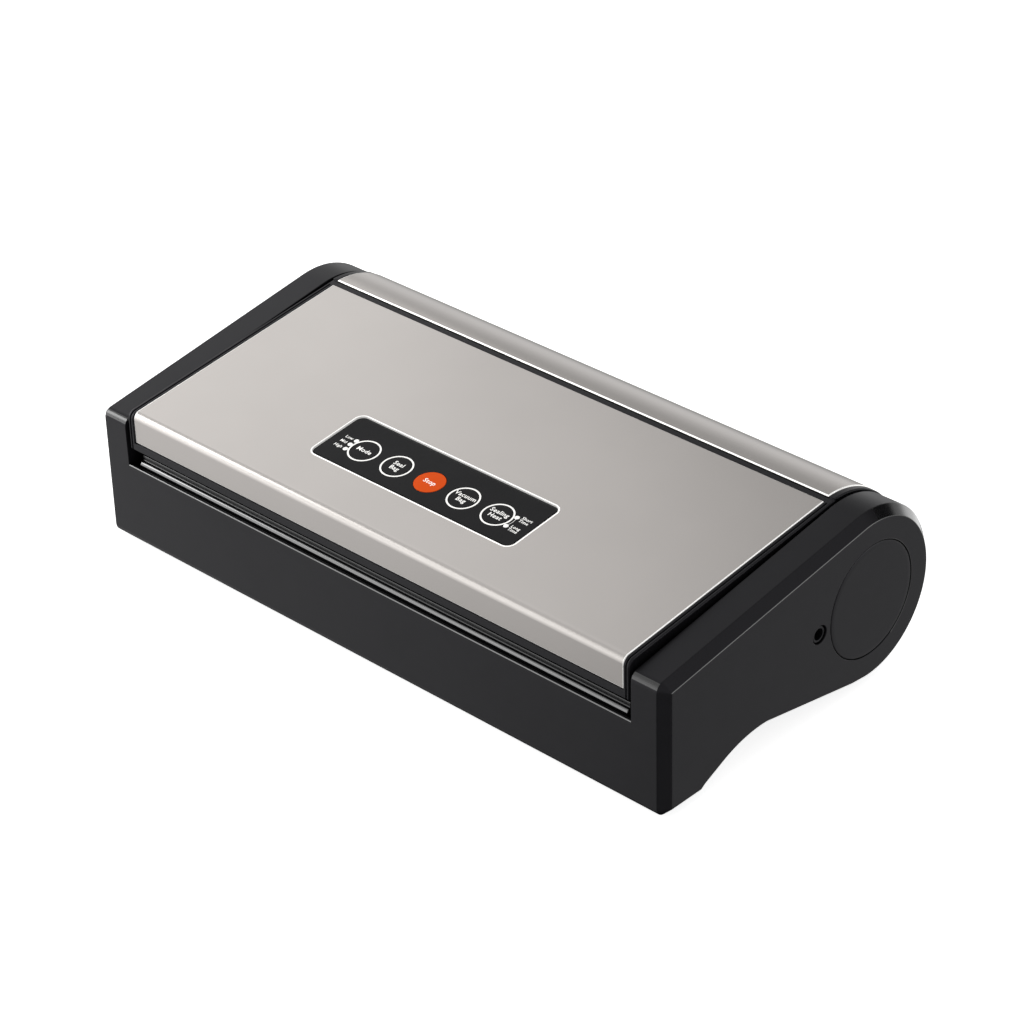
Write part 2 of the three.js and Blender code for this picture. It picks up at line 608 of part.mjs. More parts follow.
function panelBoard() {
  const switches = BUTTONS.map((_, i) => lidDisc(2.6, buttonAt(i), [-8, -6.2], 8));
  return join(lidPlate(63, 14, 2, PANEL.u, [-8.6, -7]), ...switches);
}

add('lid_frame', lidFrame(), blackPlastic);
add('lid_top_plate', lidTopPlate(), steel);
add('rear_cover_plate', rearCoverPlate(), steel);
add('lid_liner', lidLiner(), blackPlastic);
add('control_panel', controlPanel(), panelBlack);
add('panel_board', panelBoard(), boardGreen);
add('seal_pressure_strip', box(across(SEAL), [SEAL.y0 + 0.5, SEAL.y1 - 0.5], [57.6, 62]), silicone);
add('upper_gasket', ring(GASKET, [60.1, 62]), rubber);
LEDS.forEach((led, i) => add(`led_${i + 1}`, lidDisc(LED_R, led, [-6.6, LED_TOP], 8), clear));
BUTTONS.forEach((name, i) => {
  const cap = lidDisc(buttonRadius(name), buttonAt(i), [-3.4, KEY_TOP], 20);
  const stem = lidDisc(2.4, buttonAt(i), [-5.3, -3], 8);
  add(name, join(cap, stem), name === 'button_stop' ? orange : panelBlack);
});

export default assembly;
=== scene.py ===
import json
import math

import bmesh
import bpy
from mathutils import Matrix, Vector


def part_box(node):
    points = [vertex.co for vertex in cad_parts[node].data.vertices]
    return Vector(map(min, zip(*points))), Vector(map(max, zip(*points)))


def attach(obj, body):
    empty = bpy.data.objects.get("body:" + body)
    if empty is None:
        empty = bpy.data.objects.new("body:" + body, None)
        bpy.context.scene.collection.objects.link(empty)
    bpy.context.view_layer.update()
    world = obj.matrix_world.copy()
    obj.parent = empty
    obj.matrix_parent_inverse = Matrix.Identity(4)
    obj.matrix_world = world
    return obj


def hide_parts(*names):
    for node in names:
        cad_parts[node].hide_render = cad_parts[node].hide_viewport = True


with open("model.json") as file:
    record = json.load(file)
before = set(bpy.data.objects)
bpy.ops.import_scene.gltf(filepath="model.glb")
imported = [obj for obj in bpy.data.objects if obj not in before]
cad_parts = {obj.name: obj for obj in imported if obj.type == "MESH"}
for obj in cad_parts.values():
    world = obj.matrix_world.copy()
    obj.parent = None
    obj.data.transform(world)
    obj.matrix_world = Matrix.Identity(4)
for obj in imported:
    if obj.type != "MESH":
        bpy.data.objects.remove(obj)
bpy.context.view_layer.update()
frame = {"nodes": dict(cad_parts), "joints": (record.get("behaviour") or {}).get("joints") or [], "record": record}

# Countertop vacuum sealer with a steel-faced lid. Outlines are in millimetres, as the CAD part is:
# x along the machine, y from the front face of the housing, z up from the table.

# ------------------------------------------------------------------ camera
CAMERA = {
    "azimuth": 44.112,
    "elevation": 31.934,
    "roll": -1.666,
    "distance": 1.755793,
    "aim": (0.010247, -0.005437, 0.052677),
    "lens": 119.155,
}


def place_camera(azimuth, elevation, roll, distance, aim, lens):
    a, e, r = (math.radians(angle) for angle in (azimuth, elevation, roll))
    back = Vector((math.sin(a) * math.cos(e), -math.cos(a) * math.cos(e), math.sin(e)))
    level = (-back).cross(Vector((0, 0, 1))).normalized()
    upright = level.cross(-back)
    right = level * math.cos(r) + upright * math.sin(r)
    up = upright * math.cos(r) - level * math.sin(r)
    camera = bpy.data.objects.new("camera", bpy.data.cameras.new("camera"))
    bpy.context.scene.collection.objects.link(camera)
    camera.data.sensor_width = 36
    camera.data.lens = lens
    camera.data.clip_start, camera.data.clip_end = 0.05, 50
    turn = Matrix((right, up, back)).transposed().to_4x4()
    camera.matrix_world = Matrix.Translation(Vector(aim) + back * distance) @ turn
    bpy.context.scene.camera = camera


place_camera(**CAMERA)

# ------------------------------------------------------------------ driving sizes
MM = 0.001
housing_low, housing_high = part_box("base_housing")
FRONT = housing_low.y / MM
HALF = housing_high.x / MM
FOOT_DROP = housing_low.z / MM
hinge_joint = next(joint for joint in frame["joints"] if joint["name"] == "lid_hinge")
HINGE = (hinge_joint["pos_m"][1] / MM - FRONT, hinge_joint["pos_m"][2] / MM)
HINGE_Y, HINGE_Z = HINGE

GAP = 0.3
CHAMFER = 5
EDGE_R = 0.9
CORNER_R = 5.3
WALL = 2.8
LOBE_R = HINGE_Z - FOOT_DROP
CHEEK_FRONT_Z = 78.5
CHEEK_IN = 178.8
FRONT_WALL_Z = 51.2
FRONT_WALL = 1.8
WALL_EDGE_R = 0.6
FRONT_FOOT = 7
PAD_END = 28.6
ARCH = (71.5, -49)
ARCH_R = 65
RAMP_ANGLE = 24.2
RAMP_LENGTH = 14.4
SKEW = 0.38

DECK_Z = 56.5
DECK_BACK = 111.2
DECK_T = 2.4
NOSE_FRONT = 3.3
NOSE_LOW = 44
NOSE_R = 2.5
NOSE_TOP = 53.5
NOSE_STEP = 5.8
NOSE_HALF = 173.5
NOSE_BACK = 14
COVER_T = 2.4
COVER_END = -70
DRUM_R = 44.3
DRUM_HALF = 172.5
DRUM_FRONT = 173.6
DRUM_REAR = -95

LID_SLOPE = 6.45
LID_Z = 84
LIP_Y = 1.6
LIP_Z = 66.2
FOLD_R = 4.5
SHEET = 0.8
STEEL_HALF = 173
MAIN_END = 149.9
REAR_R = 50.7
REAR_FROM = 92.4
REAR_TO = 9
LID_HALF = 177
RIM_GROOVE = (174.7, 175.5)
RIM_Z = 61.7
RIM_Y = 0.9
RING_IN = 45.8
LID_TAIL = 7
ARM_IN = 173.5

PANEL_HALF_X = 71.1
PANEL_HALF_U = 19.9
PANEL_U = 51.7
PANEL_CORNER = 5
PANEL_TOP = -0.5
BUTTON_NAMES = ("button_mode", "button_seal", "button_stop", "button_vacuum", "button_heat")
BUTTON_R = 7.8
STOP_R = 8.5
KEY_TOP = -0.35
BUTTON_U = 49.3
BUTTON_PITCH = 23.56
LED_R = 1.4
LEDS = ((-56.8, 53.3), (-57.5, 49.3), (-56.8, 45.1), (56.8, 53.3), (56.8, 45.1))

TRAY = {"half_x": 149.6, "y0": 38.4, "y1": 57.6, "z0": 42}
GASKET = {"half_x": 164, "y0": 28, "y1": 68, "radius": 12, "width": 5}
SEAL = {"half_x": 157, "y0": 14, "y1": 24}
CAP_R = 32
PIN_R = 4
PORT = (115.2, 51.1)
PORT_R = 4.5
PORT_HOLE_R = 5.2
INLET_Y, INLET_Z = 100, 44
INLET_HALF_Y, INLET_HALF_Z = 12, 7
FOOT_R = 6
FEET = ((-150, 17), (150, 17), (-150, HINGE_Y), (150, HINGE_Y))
SCREW_HOLE_R = 1.9
POST_R = 3.6
RECESS = 3.2
SCREWS = ((-105, 10.8), (105, 10.8), (-105, HINGE_Y), (105, HINGE_Y))
CORNER_NAMES = ("front_left", "front_right", "rear_left", "rear_right")

ABOVE, BEHIND = 130, 230  # clear of the machine, for cutting tools

SIN_LID = math.sin(math.radians(LID_SLOPE))
COS_LID = math.cos(math.radians(LID_SLOPE))
TAN_LID = SIN_LID / COS_LID


# ------------------------------------------------------------------ outlines in a plane
def arc(centre, radius, start, end, steps):
    """Points on a circle; angles in degrees, 0 along the first axis."""
    turns = (math.radians(start + (end - start) * i / steps) for i in range(steps + 1))
    return [(centre[0] + radius * math.cos(t), centre[1] + radius * math.sin(t)) for t in turns]


def anticlockwise(points):
    area = sum(a[0] * b[1] - b[0] * a[1] for a, b in zip(points, points[1:] + points[:1]))
    return points if area > 0 else points[::-1]


def soften(points, radius, steps=4, limit=24):
    """Rounds each corner of a closed outline that turns by more than the limit in degrees."""
    rounded = []
    for i, here in enumerate(points):
        before, after = Vector(points[i - 1]), Vector(points[(i + 1) % len(points)])
        corner = Vector(here)
        into, out = corner - before, after - corner
        turn = math.atan2(into.x * out.y - into.y * out.x, into.dot(out))
        if abs(turn) < math.radians(limit):
            rounded.append(here)
            continue
        reach = radius * math.tan(abs(turn) / 2)
        reach = min(reach, 0.45 * into.length, 0.45 * out.length)
        first, last = corner - into.normalized() * reach, corner + out.normalized() * reach
        for k in range(steps + 1):
            t = k / steps
            weight = math.cos(abs(turn) / 2)
            a, b, c = (1 - t) ** 2, 2 * t * (1 - t) * weight, t * t
            rounded.append(tuple((first * a + corner * b + last * c) / (a + b + c)))
    return rounded


def inset(points, amount):
    """Moves a closed anticlockwise outline inwards."""
    if amount == 0:
        return list(points)
    moved = []
    for i, here in enumerate(points):
        corner = Vector(here)
        into = (corner - Vector(points[i - 1])).normalized()
        out = (Vector(points[(i + 1) % len(points)]) - corner).normalized()
        first, second = Vector((-into.y, into.x)), Vector((-out.y, out.x))
        moved.append(tuple(corner + (first + second) * amount / (1 + first.dot(second))))
    return moved


def rectangle(x0, x1, y0, y1):
    return [(x0, y0), (x1, y0), (x1, y1), (x0, y1)]


def rounded_rectangle(half_a, half_b, radius, centre=(0, 0), steps=8):
    a, b = half_a - radius, half_b - radius
    corners = ((a, b, 0), (-a, b, 90), (-a, -b, 180), (a, -b, 270))
    points = []
    for da, db, start in corners:
        points += arc((centre[0] + da, centre[1] + db), radius, start, start + 90, steps)
    return points


# ------------------------------------------------------------------ solids
def along_x(a, b, h):
    return Vector((h, a, b))


def upright(a, b, h):
    return Vector((a, b, h))


def on_lid(a, b, h):
    return Vector((a, b * COS_LID - h * SIN_LID, LID_Z + b * SIN_LID + h * COS_LID))


def new_piece(name, vertices, faces):
    mesh = bpy.data.meshes.new(name)
    mesh.from_pydata([(v.x * MM, (v.y + FRONT) * MM, v.z * MM) for v in vertices], [], faces)
    shape = bmesh.new()
    shape.from_mesh(mesh)
    bmesh.ops.recalc_face_normals(shape, faces=shape.faces)
    shape.to_mesh(mesh)
    shape.free()
    piece = bpy.data.objects.new(name, mesh)
    bpy.context.scene.collection.objects.link(piece)
    return piece


def loft(name, rings, closed=False):
    """A skin over rings of points, capped at both ends or joined into a loop."""
    count = len(rings[0])
    faces = []
    for i in range(len(rings) if closed else len(rings) - 1):
        a, b = i * count, (i + 1) % len(rings) * count
        faces += [(a + j, a + (j + 1) % count, b + (j + 1) % count, b + j) for j in range(count)]
    if not closed:
        last = (len(rings) - 1) * count
        faces += [tuple(range(count)), tuple(range(last, last + count))]
    return new_piece(name, [vertex for ring in rings for vertex in ring], faces)


def edge_steps(edge, steps=4):
    """Pairs of height and inset along a quarter round."""
    if edge == 0:
        return [(0, 0)]
    turns = [math.radians(90 * i / steps) for i in range(steps + 1)]
    return [(edge * (1 - math.cos(t)), edge * (1 - math.sin(t))) for t in turns]


def extruded(name, outline, low, high, place, edge=0, low_edge=None):
    """An outline pushed between two heights, with rounded ends."""
    outline = anticlockwise(list(outline))
    low_steps = edge_steps(edge if low_edge is None else low_edge)
    high_steps = reversed(edge_steps(edge))
    rings = [[place(a, b, low + h) for a, b in inset(outline, i)] for h, i in low_steps]
    rings += [[place(a, b, high - h) for a, b in inset(outline, i)] for h, i in high_steps]
    return loft(name, rings)


def turned(name, profile, centre, place, steps=64, closed=False):
    """A piece turned about an axis through the centre: pairs of radius and height."""
    angles = [2 * math.pi * i / steps for i in range(steps)]
    rings = [
        [place(centre[0] + r * math.cos(t), centre[1] + r * math.sin(t), h) for t in angles]
        for r, h in profile
    ]
    return loft(name, rings, closed)


def block(x, y, z, edge=0):
    return extruded("block", rectangle(*x, *y), *z, upright, edge)


def rod(radius, low, high, centre, place, steps=32):
    return turned("rod", [(radius, low), (radius, high)], centre, place, steps)


def bake(piece):
    """Replaces a piece's mesh with the result of its modifiers."""
    depsgraph = bpy.context.evaluated_depsgraph_get()
    mesh = bpy.data.meshes.new_from_object(piece.evaluated_get(depsgraph))
    old = piece.data
    piece.modifiers.clear()
    piece.data = mesh
    bpy.data.meshes.remove(old)


def combine(piece, tools, operation):
    for tool in tools:
        modifier = piece.modifiers.new(operation, "BOOLEAN")
        modifier.operation = operation
        modifier.solver = "MANIFOLD"
        modifier.object = tool
        bake(piece)
        bpy.data.objects.remove(tool)
    return piece


def cut(piece, *tools):
    return combine(piece, tools, "DIFFERENCE")


def join(piece, *tools):
    return combine(piece, tools, "UNION")


def shade(piece, angle=32):
    """Smooth shading that keeps flat faces flat and edges above the angle sharp."""
    piece.data.shade_smooth()
    piece.data.set_sharp_from_angle(angle=math.radians(angle))
    normals = piece.modifiers.new("normals", "WEIGHTED_NORMAL")
    normals.keep_sharp = True
    bake(piece)
    return piece


def everywhere(*_):
    return True


def ease(piece, width, steps=3, angle=40, where=everywhere, slot=-1):
    """Rounds the sharp edges whose middle passes the test; the new faces may take another slot."""
    shape = bmesh.new()
    shape.from_mesh(piece.data)
    bmesh.ops.remove_doubles(shape, verts=shape.verts, dist=0.01 * MM)
    bmesh.ops.dissolve_limit(
        shape, angle_limit=math.radians(0.5), verts=shape.verts, edges=shape.edges
    )
    weight = shape.edges.layers.float.new("bevel_weight_edge")
    for edge in shape.edges:
        middle = (edge.verts[0].co + edge.verts[1].co) / 2 / MM
        middle.y -= FRONT
        if len(edge.link_faces) == 2 and edge.calc_face_angle() > math.radians(angle) and where(middle):
            edge[weight] = 1
    shape.to_mesh(piece.data)
    shape.free()
    bevel = piece.modifiers.new("ease", "BEVEL")
    bevel.width = width * MM
    bevel.segments = steps
    bevel.limit_method = "WEIGHT"
    bevel.use_clamp_overlap = False
    bevel.material = slot
    bake(piece)
    return shade(piece)


# ------------------------------------------------------------------ materials
NOISE_RANGE = (0.3, 0.7)


class Finish:
    """A node material that is being put together round one Principled shader."""

    def __init__(self, name, **sockets):
        self.material = bpy.data.materials.new(name)
        self.material.use_nodes = True
        self.tree = self.material.node_tree
        self.shader = self.tree.nodes["Principled BSDF"]
        for socket, value in sockets.items():
            self.shader.inputs[socket.replace("_", " ")].default_value = value
        self.place = self.node("ShaderNodeTexCoord").outputs["Object"]

    def node(self, kind, **inputs):
        node = self.tree.nodes.new(kind)
        for socket, value in inputs.items():
            self.set(node.inputs[socket.replace("_", " ")], value)
        return node

    def set(self, socket, value):
        if isinstance(value, bpy.types.NodeSocket):
            self.tree.links.new(value, socket)
        else:
            socket.default_value = value

    def noise(self, scale, detail=3.0, stretch=(1, 1, 1)):
        """Noise whose features are about 1/scale of a metre across."""
        mapping = self.node("ShaderNodeMapping", Vector=self.place, Scale=stretch)
        place = mapping.outputs["Vector"]
        noise = self.node("ShaderNodeTexNoise", Vector=place, Scale=scale, Detail=detail)
        return noise.outputs["Fac"]

    def tint(self, value, first, second):
        ramp = self.tree.nodes.new("ShaderNodeValToRGB")
        self.tree.links.new(value, ramp.inputs["Fac"])
        for element, at, colour in zip(ramp.color_ramp.elements, NOISE_RANGE, (first, second)):
            element.position, element.color = at, (*colour, 1)
        self.set(self.shader.inputs["Base Color"], ramp.outputs["Color"])

    def roughness(self, value, low, high):
        node = self.node("ShaderNodeMapRange", Value=value, To_Min=low, To_Max=high)
        node.inputs["From Min"].default_value, node.inputs["From Max"].default_value = NOISE_RANGE
        self.set(self.shader.inputs["Roughness"], node.outputs["Result"])

    def relief(self, height, depth):
        """Depth in millimetres."""
        bump = self.node("ShaderNodeBump", Height=height, Distance=depth * MM)
        self.set(self.shader.inputs["Normal"], bump.outputs["Normal"])


def shades(colour, amount):
    """A darker and a lighter version of a colour."""
    return tuple(c * (1 - amount) for c in colour), tuple(c * (1 + amount) for c in colour)


def moulded(
    name, colour, roughness, grain=1600, depth=0.006, variation=0.12, specular=0.5, sheen=(1, 1, 1)
):
    """Moulded plastic or rubber: a fine spark texture under slow changes of sheen."""
    finish = Finish(name, Specular_IOR_Level=specular, Specular_Tint=(*sheen, 1))
    finish.tint(finish.noise(90, 4), *shades(colour, variation))
    finish.roughness(finish.noise(14, 2), roughness * 0.9, roughness * 1.1)
    finish.relief(finish.noise(grain, 2), depth)
    return finish.material


def polished(name, colour, roughness):
    """A high gloss lacquer that mirrors more than bare plastic does."""
    finish = Finish(name, Specular_IOR_Level=1.0, IOR=1.9)
    finish.tint(finish.noise(90, 4), *shades(colour, 0.1))
    finish.roughness(finish.noise(14, 2), roughness * 0.95, roughness * 1.05)
    return finish.material


def glowing(material, colour, strength):
    """Adds an emission glow; on the print and the bright edges it is painted light that lifts a light finish on
    lines too fine to catch the light by themselves.
    """
    shader = material.node_tree.nodes["Principled BSDF"]
    shader.inputs["Emission Color"].default_value = (*colour, 1)
    shader.inputs["Emission Strength"].default_value = strength
    return material


def satin_steel(name, colour, roughness):
    """Sheet steel with a very fine satin grain along the machine."""
    finish = Finish(name, Metallic=1.0)
    grain = finish.noise(1400, 3, (0.012, 1, 1))
    finish.tint(finish.noise(26, 3), *shades(colour, 0.012))
    finish.roughness(grain, roughness * 0.992, roughness * 1.008)
    return finish.material


def machined(name, colour, roughness):
    finish = Finish(name, Metallic=1.0)
    finish.tint(finish.noise(300, 3), *shades(colour, 0.1))
    finish.roughness(finish.noise(900, 4, (0.1, 1, 1)), roughness * 0.8, roughness * 1.25)
    finish.relief(finish.noise(3000, 2, (0.05, 1, 1)), 0.003)
    return finish.material


def circuit_board(name):
    """Green lacquer over a pattern of copper tracks."""
    finish = Finish(name, Roughness=0.35)
    cells = finish.node("ShaderNodeTexVoronoi", Vector=finish.place, Scale=320.0)
    cells.distance = "MANHATTAN"
    finish.tint(cells.outputs["Distance"], (0.012, 0.1, 0.035), (0.03, 0.19, 0.07))
    finish.relief(cells.outputs["Distance"], 0.05)
    return finish.material


def woven_tape(name):
    """Glass cloth coated with PTFE: a fine plain weave."""
    finish = Finish(name)
    warp = finish.node("ShaderNodeTexWave", Vector=finish.place, Scale=420.0, Distortion=0.6)
    weft = finish.node("ShaderNodeTexWave", Vector=finish.place, Scale=420.0, Distortion=0.6)
    weft.bands_direction = "Y"
    weave = finish.node("ShaderNodeMath")
    weave.operation = "MULTIPLY"
    finish.set(weave.inputs[0], warp.outputs["Fac"])
    finish.set(weave.inputs[1], weft.outputs["Fac"])
    finish.tint(weave.outputs["Value"], (0.27, 0.16, 0.07), (0.42, 0.27, 0.13))
    finish.roughness(finish.noise(60), 0.4, 0.55)
    finish.relief(weave.outputs["Value"], 0.04)
    return finish.material


GLOW = 0.4
LACQUER = (0.006, 0.006, 0.0065)
FINISHES = {
    "black_plastic": moulded(
        "black_plastic", (0.0044, 0.0043, 0.005), 0.34, specular=0.245, sheen=(0.93, 0.915, 1)
    ),
    "gloss_black": moulded("gloss_black", LACQUER, 0.17, 400, 0.002, specular=1.0),
    "brushed_steel": satin_steel("brushed_steel", (0.53, 0.503, 0.481), 0.27),
    # Painted highlight: a lighter copy of the steel with an emission glow, for the rounded plate edges and the
    # line round the panel.
    "painted_edge_highlight": glowing(satin_steel("painted_edge_highlight", (0.93, 0.92, 0.9), 0.42), (1, 0.99, 0.97), GLOW),
    "polished_black": polished("polished_black", LACQUER, 0.15),
    "panel_black": moulded("panel_black", (0.009, 0.009, 0.01), 0.45, 1200, 0.003, specular=0.12),
    "orange_plastic": moulded("orange_plastic", (0.93, 0.1, 0.004), 0.5, 1200, 0.003, 0.02, 0.08),
    "rubber": moulded("rubber", (0.012, 0.012, 0.012), 0.75, 900, 0.02),
    "silicone": moulded("silicone", (0.5, 0.48, 0.44), 0.55, 700, 0.01, 0.05),
    "machined_steel": machined("machined_steel", (0.5, 0.5, 0.51), 0.28),
    "circuit_board": circuit_board("circuit_board"),
    "transformer_core": machined("transformer_core", (0.24, 0.13, 0.07), 0.45),
    "ptfe_tape": woven_tape("ptfe_tape"),
    "led_lens": glowing(
        moulded("led_lens", (0.9, 0.9, 0.88), 0.25, 500, 0.002, 0.03), (1, 1, 0.97), GLOW
    ),
    # The white print carries an emission glow: painted light that lifts it.
    "white_ink": glowing(
        moulded("white_ink", (0.97, 0.965, 0.94), 0.5, 2400, 0.002, 0.01, 0.5), (1, 0.99, 0.95), GLOW
    ),
}
SLOT_OF = {part["node"]: part["material_slot"] for part in frame["record"]["subparts"]}
BODY_OF = {
    node: body for body, nodes in frame["record"]["behaviour"]["bodies"].items() for node in nodes
}


def stand_for(piece, node, *others):
    """A finished piece takes over the place, the body and the finish of its CAD node."""
    dress(piece, SLOT_OF[node], BODY_OF[node], *others)
    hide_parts(node)
    return piece


def dress(piece, slot, body, *others):
    """Faces in the mesh's further slots, if it has any, have the other finishes."""
    materials = piece.data.materials
    if others:
        for i, finish in enumerate((slot, *others)):
            materials[i] = FINISHES[finish]
    else:
        materials.clear()
        materials.append(FINISHES[slot])
    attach(piece, body)
    return piece


def set_finishes(piece, *finishes):
    """Gives a piece one slot for each finish; all its faces start in the first."""
    piece.data.materials.clear()
    for finish in finishes:
        piece.data.materials.append(FINISHES[finish])


def other_finish(piece, where, slot=1):
    """Gives the faces for which the test says so another of the piece's finishes."""
    for face in piece.data.polygons:
        spot = face.center / MM
        spot.y -= FRONT
        if face.material_index == 0 and where(spot, face.normal):
            face.material_index = slot


# ------------------------------------------------------------------ outlines of the machine
rise = HINGE_Z - CHEEK_FRONT_Z
CHEEK_SLOPE = math.degrees(math.atan2(rise, HINGE_Y) + math.asin(LOBE_R / math.hypot(HINGE_Y, rise)))
across, above = HINGE_Y - ARCH[0], HINGE_Z - ARCH[1]
BELLY_NORMAL = math.degrees(
    math.atan2(above, across) + math.acos((ARCH_R + LOBE_R) / math.hypot(across, above))
)


def underside(deep, start_y, end_angle, lobe_steps):
    """From the front strip over the arch to the lobe, moved into the body."""
    ramp = arc(ARCH, ARCH_R + deep, 90 + RAMP_ANGLE, BELLY_NORMAL, 20)
    slope = math.radians(RAMP_ANGLE)
    foot = (ramp[0][0] - RAMP_LENGTH * math.cos(slope), ramp[0][1] - RAMP_LENGTH * math.sin(slope))
    return [
        (start_y, FOOT_DROP + deep),
        (PAD_END - SKEW * deep, FOOT_DROP + deep),
        foot,
        *ramp,
        *arc(HINGE, LOBE_R - deep, BELLY_NORMAL - 180, end_angle, lobe_steps),
    ]


def housing_outline(deep):
    slope = math.radians(CHEEK_SLOPE)
    top = CHEEK_FRONT_Z + CORNER_R * math.tan(slope) - CORNER_R / math.cos(slope)
    return [
        *arc((CORNER_R, FOOT_DROP + CORNER_R), CORNER_R - deep, 180, 270, 8)[:-1],
        *underside(deep, CORNER_R, 90 + CHEEK_SLOPE, 90),
        *arc((CORNER_R, top), CORNER_R - deep, 90 + CHEEK_SLOPE, 180, 8),
    ]


def lid_plane_z(y, offset):
    return LID_Z + y * TAN_LID + offset / COS_LID


def lid_top(front, bottom, fold, offset, end, steps=10):
    """Front lip, fold and sloping top, moved in from the steel surface by an offset."""
    centre = (front + fold, lid_plane_z(front + fold, -offset - fold))
    bend = arc(centre, fold, 180, 90 + LID_SLOPE, steps)
    return [(front, bottom), *bend, (end, lid_plane_z(end, -offset))]


def both(inner, outer):
    """The same span on the left and on the right, each from low to high."""
    return (-outer, -inner), (inner, outer)


# ------------------------------------------------------------------ base
def housing():
    chamfer = soften([(0, CHAMFER + 20), (0, CHAMFER), (CHAMFER, 0), (CHAMFER + 20, 0)], EDGE_R)
    chamfer = [step for step in chamfer if step[0] < CHAMFER + 1.5 and step[1] < CHAMFER + 1.5]
    left = [[along_x(y, z, -HALF + h) for y, z in housing_outline(deep)] for h, deep in chamfer]
    right = [[along_x(y, z, HALF - h) for y, z in housing_outline(deep)] for h, deep in chamfer[::-1]]
    shell = loft("housing", left + right)
    hollow = anticlockwise(housing_outline(WALL))
    cut(shell, extruded("hollow", hollow, -HALF + WALL, HALF - WALL, along_x))
    for low, high in both(CHEEK_IN, CHEEK_IN + WALL):
        wall = extruded("wall", housing_outline(1), low, high, along_x)
        join(shell, cut(wall, block((-HALF, HALF), (-1, 118), (-1, 45))))
    middle = [
        (-5, FRONT_WALL_Z - WALL_EDGE_R),
        *arc((WALL_EDGE_R, FRONT_WALL_Z - WALL_EDGE_R), WALL_EDGE_R, 180, 90, 8),
        (FRONT_WALL, FRONT_WALL_Z), (FRONT_WALL, 12), (FRONT_FOOT, 12),
        (FRONT_FOOT, -5), (BEHIND, -5), (BEHIND, ABOVE), (-5, ABOVE),
    ]
    cut(shell, extruded("middle", middle, -CHEEK_IN, CHEEK_IN, along_x))
    for x, y in SCREWS[:2]:
        post = join(rod(POST_R, 5, 24, (x, y), upright), block((x - 1.2, x + 1.2), (1, y), (6, 26)))
        join(shell, cut(post, rod(SCREW_HOLE_R, 0, 21, (x, y), upright)))
    for low, high in both(CHEEK_IN + 1, 192):
        join(shell, rod(8, low, high, HINGE, along_x))
    for low, high in both(CHEEK_IN - 1, 194):
        cut(shell, rod(PIN_R + GAP, low, high, HINGE, along_x))
    for low, high in both(195, HALF + 1):
        cut(shell, rod(CAP_R + GAP, low, high, HINGE, along_x, 128))
    cut(shell, rod(PORT_HOLE_R, 195, HALF + 1, PORT, along_x, 64))
    inlet = rounded_rectangle(INLET_HALF_Y + GAP, INLET_HALF_Z + GAP, 1.2, (INLET_Y, INLET_Z))
    cut(shell, extruded("slot", inlet, -HALF - 1, -HALF + 5, along_x))

    def inside_the_rim(spot):
        """All edges but those of the outer skin, which the loft has rounded already."""
        from_hinge = math.hypot(spot.y - HINGE_Y, spot.z - HINGE_Z)
        from_port = math.hypot(spot.y - PORT[0], spot.z - PORT[1])
        in_inlet = abs(spot.y - INLET_Y) < INLET_HALF_Y + 1 and abs(spot.z - INLET_Z) < INLET_HALF_Z + 1
        at_cheek = abs(abs(spot.x) - CHEEK_IN) < 0.1
        if spot.y < FRONT_WALL + 0.2 and abs(spot.z - FRONT_WALL_Z) < 1 and at_cheek:
            return False  # the wall's rounded top stays as it is where it meets the cheek
        return abs(spot.x) < HALF - CHAMFER - 1 or from_hinge < CAP_R + 1 or from_port < 7 or in_inlet

    def wall_edge(spot, normal):
        low = FRONT_WALL_Z - WALL_EDGE_R
        inside = abs(spot.x) < 150 and spot.y < WALL_EDGE_R
        return inside and low < spot.z < FRONT_WALL_Z and normal.z > 0.05

    def shiny(spot, normal):
        """The cheeks' front corners, the lower edge of the long chamfer and the lobe's chamfer."""
        turn = math.degrees(math.atan2(spot.z - HINGE_Z, spot.y - HINGE_Y))
        up_front = normal.y < -0.15 and normal.z > 0.3 and abs(normal.x) < 0.2
        corner = spot.y < 3 and spot.z > 70 and up_front
        lower_edge = abs(spot.x) > HALF - 1.5 and 0.75 < abs(normal.x) < 0.99 and spot.z > 70
        lobe = abs(spot.x) > HALF - CHAMFER and 0.3 < abs(normal.x) < 0.99 and -60 < turn < 85
        return corner or lower_edge or lobe

    set_finishes(shell, "black_plastic", "gloss_black", "polished_black")
    ease(shell, 0.35, where=inside_the_rim)
    other_finish(shell, shiny)
    other_finish(shell, wall_edge, 2)
    return stand_for(shell, "base_housing", "gloss_black", "polished_black")


def bottom_cover():
    start = FRONT_FOOT + GAP
    outline = [
        *underside(0, start, COVER_END, 24),
        *arc(HINGE, DRUM_R + GAP, COVER_END, COVER_END - 4, 2),
        *reversed(underside(COVER_T, start, COVER_END - 4, 24)),
    ]
    cover = extruded("bottom_plate", outline, GAP - CHEEK_IN, CHEEK_IN - GAP, along_x)
    for foot in FEET:
        cut(cover, rod(FOOT_R + GAP, -1, RECESS, foot, upright))
    for screw in SCREWS:
        hole, head = rod(SCREW_HOLE_R, 0, 8, screw, upright), rod(3.4, 0, RECESS, screw, upright)
        cut(cover, hole, head)
    return stand_for(ease(cover, 0.3), "bottom_cover")


